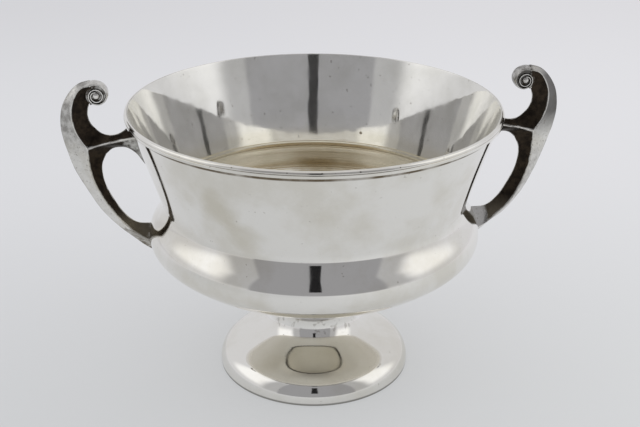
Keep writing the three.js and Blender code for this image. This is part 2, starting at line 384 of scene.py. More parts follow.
def turn(name, profile, finish, facets=192, crease=40):
    """Turns a closed profile in mm round the Z axis. Edges sharper than crease degrees stay sharp."""
    line = bpy.data.meshes.new(name + "_profile")
    points = [(r * MM, 0, z * MM) for r, z in profile]
    line.from_pydata(points, [(i, i + 1) for i in range(len(points) - 1)], [])
    maker = bpy.data.objects.new(name + "_profile", line)
    bpy.context.scene.collection.objects.link(maker)
    step = maker.modifiers.new("lathe", "NODES")
    step.node_group = lathe
    sockets = {s.name: s.identifier for s in lathe.interface.items_tree if s.in_out == "INPUT"}
    step[sockets["Facets Round"]] = facets
    step[sockets["Finish"]] = finish
    piece = plain_mesh(maker, name)
    piece.data.set_sharp_from_angle(angle=math.radians(crease))
    return piece


# %% [markdown]
# ## Finishes
# All the pieces are sterling silver, polished by hand and a little tarnished. A mirror-like metal
# comes from the Principled shader with full metalness and low roughness. What makes it look
# handled is uneven: cloudy patches of tarnish, hairline scratches from polishing, tiny pits, and
# a darker skin where a polishing cloth can't reach. Each is a noise pattern of its own scale, in
# Object coordinates, so it stays on the metal when the camera moves.

# %% Silver base
SILVER = (0.88, 0.865, 0.83)
WARM = (0.64, 0.60, 0.50)
BROWN = (0.16, 0.125, 0.085)
LAST_REFLECTION = 3.5
MEAN_LIGHT = 0.5


def new_finish(name):
    finish = bpy.data.materials.new(name)
    finish.use_nodes = True
    tree = finish.node_tree
    shader = tree.nodes["Principled BSDF"]
    shader.inputs["Metallic"].default_value = 1.0
    return finish, tree, shader


def deep_reflections(tree, shader, colour):
    """Between facing mirrors light runs on for ever. After four reflections the metal glows
    with the mean light of the room instead, so that no black is left where the count ends."""
    tree.links.new(colour, shader.inputs["Base Color"])
    depth = add(tree, "ShaderNodeLightPath").outputs["Glossy Depth"]
    many = maths(tree, "GREATER_THAN", depth, LAST_REFLECTION)
    glow = add(tree, "ShaderNodeEmission", {"Color": colour, "Strength": MEAN_LIGHT})
    mixed = add(tree, "ShaderNodeMixShader", {0: many, 1: shader.outputs[0], 2: glow.outputs[0]})
    tree.links.new(mixed.outputs[0], tree.nodes["Material Output"].inputs["Surface"])


# %% Patterns in the metal
def cloud(tree, scale, detail=3.0, rough=0.55, squash=(1, 1, 1)):
    """Noise on the object's own coordinates; scale is in patches per metre."""
    where = add(tree, "ShaderNodeTexCoord").outputs["Object"]
    squashed = add(tree, "ShaderNodeMapping", {"Vector": where, "Scale": squash})
    noise = add(tree, "ShaderNodeTexNoise", {"Vector": squashed.outputs[0], "Scale": scale, "Detail": detail,
                                             "Roughness": rough})
    return noise.outputs["Fac"]


def bump(tree, shader, *layers):
    """Stacks bump layers, each a height and its depth in mm."""
    below = None
    for height, depth in layers:
        node = add(tree, "ShaderNodeBump", {"Height": height, "Strength": 1.0, "Distance": depth * MM})
        if below is not None:
            tree.links.new(below, node.inputs["Normal"])
        below = node.outputs[0]
    tree.links.new(below, shader.inputs["Normal"])


def scratches(tree):
    """A bump layer of hairlines from the polishing cloth, which run round the piece."""
    return cloud(tree, 1500, 2, squash=(1, 1, 4)), 0.0005


def tint(tree, colour, share, strength, over):
    """Lays the colour over upon another one, where share is 1 and at the given strength."""
    return blend(tree, maths(tree, "MULTIPLY", share, strength), colour, over)


# %% Spun silver
def spun_base(tree, dirt=1.0):
    """Polished sheet: clouds of pale tarnish and a few brown specks."""
    patches = ramp(tree, cloud(tree, 26, 5, 0.6), 0.40, 0.66)
    colour = tint(tree, SILVER, patches, 0.42 * dirt, WARM)
    specks = ramp(tree, cloud(tree, 520, 2), 0.71, 0.76)
    return tint(tree, colour, specks, 0.35 * dirt, BROWN)


def polish(tree, shader, dull):
    """A low, slightly uneven roughness, and more of it where the metal is dull."""
    even = ramp(tree, cloud(tree, 60, 5), 0.3, 0.8, 0.03, 0.10)
    tree.links.new(maths(tree, "ADD", even, dull), shader.inputs["Roughness"])


def radius_and_height(tree):
    place = add(tree, "ShaderNodeSeparateXYZ", {0: add(tree, "ShaderNodeTexCoord").outputs["Object"]}).outputs
    across, deep = (maths(tree, "MULTIPLY", place[k], place[k]) for k in (0, 1))
    return maths(tree, "SQRT", maths(tree, "ADD", across, deep)), place[2]


# %% [markdown]
# ### Stains in their own places
# A few stains and specks are large enough to be told apart, so they get a place each. A stain
# could be painted on a texture, but an image has to be stored. The distance from a point, made
# ragged by noise, gives the same outline from two nodes. A place is written as a maker would say
# it: how far from the axis, at which bearing from the viewer, and how high.


# %% Stains
def at_bearing(radius, bearing, height):
    """The point in mm at a distance from the axis and a bearing in degrees, 0 towards the viewer
    and more to the right. A negative distance is on the opposite side."""
    turned = math.radians(bearing) - HANDLE_TURN
    return radius * math.sin(turned), -radius * math.cos(turned), height


def around(tree, centre, size, grain, detail, solid, gone):
    """1 about a point in mm and 0 further off, with an outline that noise of grain patches per
    metre makes ragged. solid and gone are where it ends, as shares of its size in mm."""
    where = add(tree, "ShaderNodeTexCoord").outputs["Object"]
    ragged = add(tree, "ShaderNodeTexNoise", {"Vector": where, "Scale": grain, "Detail": detail})
    away = add(tree, "ShaderNodeVectorMath", {0: where, 1: tuple(c * MM for c in centre)},
               operation="DISTANCE").outputs["Value"]
    reach = maths(tree, "ADD", away, maths(tree, "MULTIPLY", ragged.outputs["Fac"], size * MM))
    return ramp_mm(tree, reach, size * solid, size * gone, 1, 0)


def smudge(tree, centre, size):
    """A large soft patch."""
    return around(tree, centre, size, 90.0, 4.0, 0.6, 1.4)


def spotted(tree, colour, spots):
    """Small brown spots with clear edges, each a place and a size: stains, and on the rim's crown one painted
    reflection of the camera.
    """
    for place, size in spots:
        stain = around(tree, at_bearing(*place), size, 700.0, 2.0, 1.3, 1.5)
        colour = tint(tree, colour, stain, 0.85, BROWN)
    return colour


# %% [markdown]
# ### The bowl's finish
# The inside has been polished less often than the outside. Its wall is clean, the basin below the
# waist is pale and cloudy with the rings that spinning left, and its middle is brown. Outside, a
# brown band under the rim wire is partly old dirt and partly painted shade, and the underside is
# dull. One material covers both sides, because the lathe wrote which side of the profile each point
# lies on.

# %% Colours inside the bowl
INSIDE_WALL = ((0.88, 0.87, 0.84), (0.78, 0.77, 0.73))
BASIN = ((0.95, 0.93, 0.88), (0.89, 0.87, 0.80))
MIDDLE = ((0.60, 0.50, 0.34), (0.44, 0.35, 0.21))
WAIST_FILM = (0.84, 0.81, 0.72)
OLD_STAIN = (0.42, 0.34, 0.20)


def inside_colour(tree, radius, height):
    clouds = ramp(tree, cloud(tree, 45, 5), 0.35, 0.7)
    wall, basin, middle = (blend(tree, clouds, *pair) for pair in (INSIDE_WALL, BASIN, MIDDLE))
    colour = blend(tree, ramp_mm(tree, height, 124, 104), wall, basin)
    colour = blend(tree, ramp_mm(tree, radius, 58, 30), colour, middle)
    colour = tint(tree, colour, between_mm(tree, height, (98, 101), (108, 114)), 0.9, WAIST_FILM)
    back = maths(tree, "MULTIPLY", smudge(tree, (13, 87.5, 86), 32), ramp_mm(tree, height, 93, 88))
    colour = tint(tree, colour, back, 0.8, OLD_STAIN)
    crease = between_mm(tree, height, (100.2, 100.6), (101.0, 101.4))
    colour = tint(tree, colour, crease, 0.4, BROWN)
    return tint(tree, colour, ramp(tree, cloud(tree, 420, 2), 0.70, 0.74), 0.5, BROWN)


# %% Colours of the whole bowl
UNDERSIDE = (0.74, 0.70, 0.60)
STAINS = (((92.6, 13, 63.5), 0.35), ((-84, -20, 110), 1.0), ((-85, 14, 112), 0.6))
SMUDGES = (((90.4, -31, 128), 18, 0.65), ((85.7, -23, 113), 15, 0.45), ((90.3, -42, 127), 8, 0.3),
           ((89.9, 5, 126), 16, 0.22), ((86.8, -17, 77), 13, 0.35), ((93.0, 9, 136), 10, 0.2),
           ((92.2, 41, 133), 12, 0.22), ((83, 3, 71), 15, 0.35))


def bowl_colour(tree, radius, height, inner, outer):
    colour = blend(tree, inner, spun_base(tree), inside_colour(tree, radius, height))
    under = maths(tree, "MULTIPLY", outer, ramp_mm(tree, height, 72, 60))
    colour = tint(tree, colour, under, 0.75, UNDERSIDE)
    # A brown band under the rim wire: partly old dirt, partly painted shade under the wire's overhang.
    shade_and_dirt_below_rim = maths(tree, "MULTIPLY", ramp_mm(tree, height, 148.9, 149.5), outer)
    patchy = ramp(tree, cloud(tree, 60, 3), 0.35, 0.6)
    dirt = maths(tree, "ADD", 0.45, maths(tree, "MULTIPLY", patchy, 0.55))
    colour = spotted(tree, tint(tree, colour, shade_and_dirt_below_rim, dirt, BROWN), STAINS)
    for place, size, strength in SMUDGES:
        colour = tint(tree, colour, smudge(tree, at_bearing(*place), size), strength, WARM)
    return colour


# %% Finish of the bowl
INSIDE_FILM = 0.06  # a thin film of tarnish inside, which scatters a little light
UNPOLISHED = 0.36
RING_DEPTH = 0.20
RINGS = ((420.0, 2.0), (1300.0, 1.0))  # rings per metre and detail


def ring_noise(tree, down, scale, detail):
    return add(tree, "ShaderNodeTexNoise", {"W": down, "Scale": scale, "Detail": detail},
               noise_dimensions="1D").outputs["Fac"]


def bowl_skin():
    finish, tree, shader = new_finish("spun_silver_bowl")
    radius, height = radius_and_height(tree)
    along = add(tree, "ShaderNodeAttribute", attribute_name="along_profile").outputs["Fac"]
    inner = ramp(tree, along, 0.499, 0.501, 1, 0)
    outer = maths(tree, "SUBTRACT", 1.0, inner)
    deep_reflections(tree, shader, bowl_colour(tree, radius, height, inner, outer))
    film = maths(tree, "MULTIPLY", inner, INSIDE_FILM)
    tree.links.new(maths(tree, "SUBTRACT", 1.0, film), shader.inputs["Metallic"])
    beneath = maths(tree, "MULTIPLY", outer, ramp_mm(tree, height, 64, 58))
    polish(tree, shader, maths(tree, "MULTIPLY", beneath, UNPOLISHED))
    hammered = maths(tree, "MULTIPLY", maths(tree, "ADD", inner, 0.35), cloud(tree, 42, 2))
    down = maths(tree, "SUBTRACT", height, radius)
    in_basin = maths(tree, "MULTIPLY", inner, ramp_mm(tree, height, 102, 99))
    rings = [(maths(tree, "MULTIPLY", in_basin, ring_noise(tree, down, *kind)), RING_DEPTH) for kind in RINGS]
    bump(tree, shader, (cloud(tree, 30, 1), 0.05), (hammered, 0.09), scratches(tree), *rings)
    return finish


bowl_finish = bowl_skin()
print(bowl_finish.name, "nodes:", len(bowl_finish.node_tree.nodes))

# %% [markdown]
# ### The foot's and the wires' finish
# The foot is spun sheet too. Its neck is pitted under the bowl, where no cloth reaches, its flare
# is dull and a dark line of old solder runs round the seam. Its bottom edge is darkened with
# painted shade, the contact shadow on the floor. The rim wire was drawn through a plate and gets
# knocked, so it is a little rougher, with specks on its crown; one dark spot there is a painted
# reflection of the camera.

# %% Finish of the foot
FLARE = (0.68, 0.635, 0.52)
SOLDER_LINE = (0.03, 0.025, 0.02)
PAINTED_CONTACT_SHADOW = (0.16, 0.155, 0.14)
PITTED = (0.34, 0.31, 0.27)


def foot_skin():
    finish, tree, shader = new_finish("spun_silver_foot")
    height = radius_and_height(tree)[1]
    colour = blend(tree, ramp_mm(tree, height, 37, 41), spun_base(tree, 0.8), FLARE)
    colour = blend(tree, ramp_mm(tree, height, 46.35, 46.5), colour, SOLDER_LINE)
    # Painted shade: the lowest 2 mm of the foot and its band are darkened as a contact shadow on the floor.
    colour = tint(tree, colour, ramp_mm(tree, height, 1.7, 0.9), 0.75, PAINTED_CONTACT_SHADOW)
    pits = ramp(tree, cloud(tree, 260, 4), 0.56, 0.66)
    neck = maths(tree, "MULTIPLY", between_mm(tree, height, (22, 27), (36, 39)), pits)
    deep_reflections(tree, shader, tint(tree, colour, neck, 0.45, PITTED))
    polish(tree, shader, ramp_mm(tree, height, 37, 42, 0, UNPOLISHED))
    bump(tree, shader, (cloud(tree, 45, 2), 0.05), (cloud(tree, 380, 2), 0.004), scratches(tree))
    return finish


foot_finish = foot_skin()
print(foot_finish.name, "nodes:", len(foot_finish.node_tree.nodes))

# %% Finish of the rim wire
CROWN_RADIUS, CROWN_HEIGHT = 99.5, 153.9
# Each spot's bearing in degrees and its size in mm. Most are tarnish specks; the spot at
# bearing 2 is a painted reflection of the camera, dark on the crown.
CROWN_SPECKS_AND_REFLECTION = ((-22, 0.35), (-7, 0.35), (2, 0.45), (5.5, 0.3), (12, 0.5), (23, 0.35), (37, 0.3))


def rim_skin():
    finish, tree, shader = new_finish("drawn_silver_wire")
    height = radius_and_height(tree)[1]
    groove = between_mm(tree, height, (152.75, 152.95), (153.05, 153.25))
    colour = tint(tree, spun_base(tree), groove, 0.25, BROWN)
    specks = [((CROWN_RADIUS, around_rim, CROWN_HEIGHT), size) for around_rim, size in CROWN_SPECKS_AND_REFLECTION]
    deep_reflections(tree, shader, spotted(tree, colour, specks))
    tree.links.new(ramp(tree, cloud(tree, 90, 4), 0.3, 0.8, 0.06, 0.16), shader.inputs["Roughness"])
    bump(tree, shader, (cloud(tree, 300, 2), 0.006), (cloud(tree, 1500, 2), 0.0008))
    return finish


rim_finish = rim_skin()
print(rim_finish.name, "nodes:", len(rim_finish.node_tree.nodes))

# %% [markdown]
# ## The bowl
# The wall flares to the mouth, draws in to a waist, swells over a rounded shoulder to a full belly
# and closes in a shallow underside. Each of these is one smooth run of the profile with a known
# slope at its ends, so the runs flow into each other as spun metal does. The inside is the same
# line moved in by the thickness of the sheet.

# %% Bowl body
SHEET = 1.0
FINE_FACETS = 256
WALL_TOP, WAIST, SHOULDER, BELLY = (98.93, 154.2), (83.15, 104.3), (87.4, 93.3), (90.8, 83.5)
LOW_BELLY, SHALLOW, BY_THE_FOOT = (84.9, 73.5), (60, 57.6), (14, 43.5)
CENTRE_HEIGHT = 42.9


def bowl_outside(steps):
    return joined(
        stretch(WALL_TOP, WAIST, -18, -17, 3 * steps),
        stretch(WAIST, SHOULDER, -17, 36, 2 * steps, 0.85),
        stretch(SHOULDER, BELLY, 36, 0, 2 * steps, 1.05),
        stretch(BELLY, LOW_BELLY, 0, -50, 2 * steps, 1.1),
        stretch(LOW_BELLY, SHALLOW, -50, -61, 2 * steps),
        stretch(SHALLOW, BY_THE_FOOT, -61, -84, 3 * steps),
        [(0, CENTRE_HEIGHT)],
    )


outside = bowl_outside(8)
inside = shifted(outside, SHEET)
inside[0] = (97.95, 154.4)
inside[-1] = (0, CENTRE_HEIGHT + SHEET)
lip = [(98.02, 154.6), (98.2, 154.72), (98.5, 154.72)]
bowl = turn("bowl_of_sheet_silver", np.vstack([inside[::-1], lip, outside]), bowl_finish, facets=FINE_FACETS)
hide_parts("bowl_body")
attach(bowl, "root")

# %% [markdown]
# ## The rim wire
# A moulded wire strengthens the mouth. It hides the edge of the sheet, and its outer face has a
# plain band, a fine groove and a rounded crown. It is a ring with one small closed profile.

# %% Rim wire
rim_profile = joined(
    [(97.6, 151.2), (98.2, 151.35), (99.7, 151.4)],
    arc((99.8, 151.6), 0.22, -80, 0, 4),
    [(100.02, 152.6)],
    arc((99.85, 152.7), 0.17, 0, 80, 4),
    [(99.68, 153.0)],
    arc((98.25, 153.2), 1.6, 0, 84, 18),
    [(98.3, 154.5), (97.6, 151.2)],
)
rim = turn("rim_wire_ring", rim_profile, rim_finish, facets=FINE_FACETS, crease=50)
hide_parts("rim_wire")
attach(rim, "root")

# %% [markdown]
# ## The foot
# The foot is spun like the bowl: its neck is a hollow spool that flares out under the bowl, where
# it is soldered, and spreads below into a low dome with a rounded edge. It is open underneath, so
# its inside is turned too. A flat wire inside its edge keeps it round and carries the weight.

# %% Foot
FOOT_RADIUS, BAND_TOP = 54.2, 1.8
OVER_BAND = BAND_TOP + 0.02
FLARE_EDGE, NECK, COLLAR, DOME_TOP = (32, 46.6), (20.6, 33), (23.1, 24.5), (28.5, 20)
DOME, DOME_EDGE = (40.8, 14.8), (47.85, 12.16)
foot_outside = joined(
    [(32, 47.1)],
    stretch(FLARE_EDGE, NECK, -77, -3, 30, 1.12),
    stretch(NECK, COLLAR, -3, 36, 16),
    stretch(COLLAR, DOME_TOP, 36, 60.3, 12),
    stretch(DOME_TOP, DOME, 60.3, 71.7, 20),
    stretch(DOME, DOME_EDGE, 71.7, 64, 14),
    arc((42.9, 2.0), 11.3, 64, 0, 26),
    [(FOOT_RADIUS, OVER_BAND)],
)
foot_inside = shifted(foot_outside, SHEET)[6:]
foot_inside[0] = (30.5, 46.8)
foot_inside[-1] = (FOOT_RADIUS - SHEET, OVER_BAND)
foot_profile = np.vstack([foot_outside, foot_inside[::-1], foot_outside[:1]])
foot = turn("foot_of_sheet_silver", foot_profile, foot_finish)
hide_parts("foot")
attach(foot, "root")

# %% Foot band
band_profile = joined(
    [(50.6, 0), (53.8, 0)],
    arc((53.85, 0.35), 0.35, -80, 0, 5),
    [(FOOT_RADIUS, BAND_TOP), (50.6, BAND_TOP), (50.6, 0)],
)
band = turn("foot_edge_band", band_profile, foot_finish)
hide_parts("foot_edge_wire")
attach(band, "root")

# %% [markdown]
# ## The handles
# Each handle is one casting: a long C with a tail that runs down to the belly, a branch to the
# wall, and a rolled scroll on top. Front and back are facets that fall from a raised ridge to thin
# edges. Sculpting could make it, but the facets are ruled surfaces between a few flowing lines,
# so the mesh is woven directly between those lines. The corner lines are drawn in a little, as
# polishing does to sharp edges.


# %% Flowing lines
def flowing(points, count):
    """A smooth line through points (distance from the axis, height) in mm, in equal steps."""
    p = np.array(points, float)
    ends = np.vstack([2 * p[0] - p[1], p, 2 * p[-1] - p[-2]])
    fine = []
    for i in range(1, len(ends) - 2):
        a, b, c, d = ends[i - 1:i + 3]
        knots = np.cumsum([0] + [np.linalg.norm(v) ** 0.5 for v in (b - a, c - b, d - c)])
        t = np.linspace(knots[1], knots[2], 24, endpoint=False)[:, None]
        t0, t1, t2, t3 = knots
        ab = (t1 - t) / (t1 - t0) * a + (t - t0) / (t1 - t0) * b
        bc = (t2 - t) / (t2 - t1) * b + (t - t1) / (t2 - t1) * c
        cd = (t3 - t) / (t3 - t2) * c + (t - t2) / (t3 - t2) * d
        abc = (t2 - t) / (t2 - t0) * ab + (t - t0) / (t2 - t0) * bc
        bcd = (t3 - t) / (t3 - t1) * bc + (t - t1) / (t3 - t1) * cd
        fine.append((t2 - t) / (t2 - t1) * abc + (t - t1) / (t2 - t1) * bcd)
    fine = np.vstack([*fine, p[-1:]])
    far = np.concatenate([[0], np.cumsum(np.linalg.norm(np.diff(fine, axis=0), axis=1))])
    at = np.linspace(0, far[-1], count + 1)
    return np.stack([np.interp(at, far, fine[:, k]) for k in (0, 1)], 1)


# %% Lines of both castings
UP, DOWN, ARM = 30, 48, 22
OUTER_FORK, HOLLOW_FORK, LOOP_FORK, FORK = (131.9, 136.5), (114.3, 145), (110.4, 130.9), (120, 135.4)
outer_up = flowing([OUTER_FORK, (133.1, 144), (133, 151), (131.3, 158.5), (127, 165.6), (122, 170),
                    (116.4, 171.7)], UP)
hollow_up = flowing([HOLLOW_FORK, (117, 148.3), (118.3, 153), (117.2, 158.5), (115.5, 162.5)], UP)
ridge_up = flowing([FORK, (124, 142), (126.3, 149), (126.7, 156.5), (124.6, 163.4), (120.6, 168.6),
                    (115.8, 170.1)], UP)
hollow_arm = flowing([HOLLOW_FORK, (111.4, 142.6), (107.7, 141.7), (104.2, 142.2), (100.8, 144),
                      (97.2, 147), (93, 148)], ARM)
loop_arm = flowing([LOOP_FORK, (107, 133.8), (102.7, 134.5), (98.2, 133.5), (94.5, 130),
                    (90.2, 123.4), (84, 119)], ARM)
ridge_arm = flowing([FORK, (113, 137.3), (104, 139.2), (97.2, 140.5), (86, 141.5)], ARM)
loop_down = flowing([LOOP_FORK, (113, 125), (112.4, 115), (108.4, 105.2), (102.8, 96), (97, 91.2),
                     (90, 90.5), (80, 91)], DOWN)
print("lines of the casting:", UP, DOWN, "and", ARM, "steps")

# %% Lines that differ
# The two castings were filed by hand: the right one is a little fuller below, and its ridge lies
# further out. Each pair is the outer edge and the ridge, for the right handle (1) and the left (-1).
lower_lines = {
    1: (flowing([OUTER_FORK, (127.6, 123), (123, 110.8), (117.1, 98.9), (107.9, 87), (100.3, 80.9),
                 (91.8, 74), (86.5, 71.4), (80, 71)], DOWN),
        flowing([FORK, (120.1, 127.2), (118.9, 115.5), (116, 106), (110.3, 94.8), (104.6, 88.6),
                 (96.5, 81.4), (80, 73.5)], DOWN)),
    -1: (flowing([OUTER_FORK, (128.3, 123.7), (122.8, 112), (115.7, 99), (108.3, 90), (99.8, 82),
                  (91.7, 75.2), (86.5, 72.6), (80, 72)], DOWN),
         flowing([FORK, (119.8, 126.2), (117.2, 114.8), (111.2, 102.2), (102.6, 90.5), (93, 82.5),
                  (80, 76)], DOWN)),
}
print("fuller below by", round(max(lower_lines[1][0][:, 0] - lower_lines[-1][0][:, 0]), 1), "mm at most")

# %% Weaving helpers
RIDGE_HALF = 4.3
ROUNDING = 0.03
ROWS = np.array([0, 0.04, 0.09, 0.17, 0.28, 0.4, 0.52, 0.64, 0.76, 0.86, 0.93, 0.97, 1])


def closed_mesh(name, vertices, faces):
    """A mesh object from points in mm, with doubles merged and faces turned outwards."""
    mesh = bpy.data.meshes.new(name)
    mesh.from_pydata([tuple(c * MM for c in v) for v in vertices], [], faces)
    work = bmesh.new()
    work.from_mesh(mesh)
    bmesh.ops.remove_doubles(work, verts=work.verts, dist=MERGED / 2)
    bmesh.ops.recalc_face_normals(work, faces=work.faces)
    work.to_mesh(mesh)
    work.free()
    piece = bpy.data.objects.new(name, mesh)
    bpy.context.scene.collection.objects.link(piece)
    return piece


def through(one, other):
    """Two lines from the same fork as one line."""
    return np.vstack([one[::-1], other[1:]])


def lifted(line, y):
    """A flat line as points in space, y mm in front of the middle plane or behind it."""
    return np.stack([line[:, 0], np.full(len(line), float(y)), line[:, 1]], 1)


def drawn_in(line, *others):
    """A corner line pulled a little towards its neighbours, which rounds the corner."""
    return line + ROUNDING * sum(other - line for other in others)


# %% Weaving the casting
CORNERS = (("outer_up", "outer_down"), ("hollow_up", "hollow_arm"), ("loop_arm", "loop_down"))


def casting(outer_down, ridge_down):
    """The C, its branch and its tail, without the scroll. Each facet is a net of rows between an
    edge and a ridge; front and back are mirror images."""
    vertices, faces = [], []
    edges = {name: lifted(line, 0) for name, line in (
        ("outer_up", outer_up), ("outer_down", outer_down), ("hollow_up", hollow_up),
        ("hollow_arm", hollow_arm), ("loop_arm", loop_arm), ("loop_down", loop_down))}
    meets = (("outer_up", "hollow_up", ridge_up), ("outer_down", "loop_down", ridge_down),
             ("hollow_arm", "loop_arm", ridge_arm))
    for face in (-1, 1):
        nets = {}
        for one, other, ridge in meets:
            crest = lifted(ridge, face * RIDGE_HALF)
            rounded = drawn_in(crest, edges[one], edges[other])
            for name in (one, other):
                edge = edges[name]
                net = [edge + share * (crest - edge) for share in ROWS]
                net[0] = drawn_in(edge, lifted(ridge, 0))
                net[-1] = rounded
                nets[name] = np.array(net)
        fork = np.mean([nets[name][-1][0] for name in ("outer_up", "outer_down", "hollow_arm")], 0)
        for net in nets.values():
            net[-1][0] = fork
        for one, other in CORNERS:
            middle = (nets[one][:, 0] + nets[other][:, 0]) / 2
            for name in (one, other):
                nets[name][:-1, 0] = middle[:-1]
        for one, other in CORNERS:
            net = np.concatenate([nets[one][:, ::-1], nets[other][:, 1:]], 1)
            start, (rows, count) = len(vertices), net.shape[:2]
            vertices.extend(net.reshape(-1, 3))
            for i in range(rows - 1):
                low = start + i * count
                faces.extend((low + k, low + k + 1, low + count + k + 1, low + count + k)
                             for k in range(count - 1))
        for one, other, _ in meets:
            section = np.vstack([nets[one][:, -1], nets[other][::-1, -1][1:]])
            start = len(vertices)
            vertices.extend(section)
            faces.append(tuple(range(start, start + len(section))))
    return closed_mesh("casting", vertices, faces)


# %% [markdown]
# ### The scroll
# The top of the casting was rolled into a scroll with a fine raised edge that winds inwards to a
# small boss. A curve could be swept for that edge, but it has to grow out of the disc smoothly, so
# each face of the disc is laid out in rings and raised where the spiral passes.

# %% The scroll
ROLL_X, ROLL_Z = 113.3, 163.9
ROLL_HIGH, ROLL_LOW, ROLL_RADIUS = 4.0, 2.9, 5.6
BOSS_RADIUS, BOSS_HEIGHT = 1.9, 1.15
# How far the spiral edge lies from the middle, by the angle swept from the side away from the bowl
SPIRAL = ((60, 6.2), (90, 6.1), (180, 5.4), (270, 4.45), (360, 3.65), (450, 3.4), (540, 3.4),
          (630, 3.15), (720, 2.6), (810, 2.0))
SPIRAL_START, STRAP_END, SPIRAL_END = SPIRAL[0][0], 300, SPIRAL[-1][0]


def spiral_radius(degrees):
    return float(np.interp(degrees, *zip(*SPIRAL)))


def swell(distance, half_width=0.62):
    """1 on the crest of the spiral edge, 0 beside it."""
    t = min(max((half_width - abs(distance)) / 0.45, 0), 1)
    return t * t * (3 - 2 * t)


def half_thickness(radius, crests, bulge):
    """How far the scroll's face stands off the middle plane. bulge is the width of the rounded
    outside of the strap that forms the outer turn, or 0 where there is no strap."""
    if bulge and radius > crests[0]:
        out = min((radius - crests[0]) / bulge, 1)
        half = ROLL_HIGH * math.sqrt(max(1 - out ** 2.2, 0))
    else:
        half = ROLL_LOW + (ROLL_HIGH - ROLL_LOW) * max(swell(radius - crest) for crest in crests)
    if radius < BOSS_RADIUS:
        half = max(half, ROLL_LOW + BOSS_HEIGHT * math.sqrt(1 - (radius / BOSS_RADIUS) ** 2))
    return half


def scroll():
    """The rolled end: a disc whose faces carry a spiral edge, and a small boss in the middle."""
    round_steps, rows = 144, 64
    block = round_steps * rows + 1
    vertices, faces = [], []
    for face in (-1, 1):
        for j in range(round_steps):
            degrees = SPIRAL_START + 360 * j / round_steps
            angle = math.radians(degrees)
            crests = [spiral_radius(degrees + turn_on) for turn_on in (0, 360, 720)
                      if turn_on < 720 or degrees + turn_on <= SPIRAL_END]
            bulge = 0.8 + 0.8 * max(1 - (degrees - SPIRAL_START) / 40, 0) if degrees < STRAP_END else 0
            edge = crests[0] + bulge if bulge else ROLL_RADIUS
            for i in range(1, rows + 1):
                radius = edge * i / rows
                vertices.append((ROLL_X + radius * math.cos(angle),
                                 face * half_thickness(radius, crests, bulge),
                                 ROLL_Z + radius * math.sin(angle)))
        vertices.append((ROLL_X, face * (ROLL_LOW + BOSS_HEIGHT), ROLL_Z))
    for j in range(round_steps):
        a, b = j * rows, (j + 1) % round_steps * rows
        for base in (0, block):
            faces.append((base + block - 1, base + a, base + b))
            faces.extend((base + a + i, base + a + i + 1, base + b + i + 1, base + b + i)
                         for i in range(rows - 1))
        faces.append((a + rows - 1, b + rows - 1, b + rows - 1 + block, a + rows - 1 + block))
    return closed_mesh("scroll", vertices, faces)


# %% [markdown]
# ### Cutting and joining
# The scroll is sunk into the casting and joined to it, as if both were poured together. The
# Boolean modifier does that and keeps the result closed. It also ends the casting inside the
# thickness of the sheet, so that it looks soldered on and doesn't show inside the bowl: a turned
# block half a millimetre smaller than the bowl cuts it there.


# %% Cutting and joining
def cut_or_join(base, tool, operation):
    step = base.modifiers.new("join", "BOOLEAN")
    step.operation = operation
    step.solver = "EXACT"
    step.object = tool
    done = base.evaluated_get(bpy.context.evaluated_depsgraph_get())
    mesh = bpy.data.meshes.new_from_object(done)
    base.modifiers.clear()
    base.data = mesh
    bpy.data.objects.remove(tool)


def disc(x, z, radius, near, far, steps=96):
    """A round block lying across the handle, from near to far along Y."""
    vertices = [(x + radius * math.cos(TAU * j / steps), y, z + radius * math.sin(TAU * j / steps))
                for y in (near, far) for j in range(steps)]
    faces = [tuple(range(steps)), tuple(range(steps, 2 * steps))]
    faces += [(j, (j + 1) % steps, steps + (j + 1) % steps, steps + j) for j in range(steps)]
    return closed_mesh("disc", vertices, faces)


# %% [markdown]
# ### The skin of the handles
# The cloth polishes the ridges, the thin edges and the outer facets, and leaves a brown skin on
# the inner facets and in the scroll. Noise alone can't know where a cloth reaches. So after the
# cuts every point is given a number for how dark its skin is, from its distance to the ridges and
# edges, and the material reads it. The right handle's upper facet also has a grey film. On the left
# handle the same number also darkens the outer facet near the tail: a painted dark reflection.

# %% Distances on the casting
HANDLE_RISE = 1.0


def side_of(line, points):
    """Distance of each point from a line, and on which side of it the point lies."""
    a, b = line[:-1], line[1:]
    along = b - a
    size = (along ** 2).sum(1)
    away = points[:, None] - a[None]
    share = np.clip((away * along).sum(2) / size, 0, 1)
    off = away - share[..., None] * along
    far = np.sqrt((off ** 2).sum(2))
    best = far.argmin(1)
    rows = np.arange(len(points))
    cross = along[best, 0] * away[rows, best, 1] - along[best, 1] * away[rows, best, 0]
    return far[rows, best], np.sign(cross)


def skin_inside(side, flat, ridge):
    """Brown between the ridges and the inner edges, and worn thin towards the wall."""
    edges = np.minimum.reduce([side_of(line, flat)[0] for line in (
        through(hollow_up, hollow_arm), through(loop_arm, loop_down))])
    skin = np.clip((ridge - 0.2) / 0.45, 0, 1) * np.clip((edges - 0.1) / 0.4, 0, 1)
    from_wall = flat[:, 0] + 0.25 * (flat[:, 1] - 84)
    if side > 0:
        return skin * np.interp(from_wall, (87, 90, 92, 97, 99), (0, 0, 0.1, 0.22, 1))
    skin *= np.interp(from_wall, (84, 90, 94), (0.45, 0.8, 1))
    below_arm = flat[:, 1] < np.interp(flat[:, 0], *ridge_arm[::-1].T)
    under_rim = below_arm & (flat[:, 1] > 122)
    skin[under_rim] *= np.interp(flat[under_rim, 0], (97, 103), (0.6, 1))
    return skin


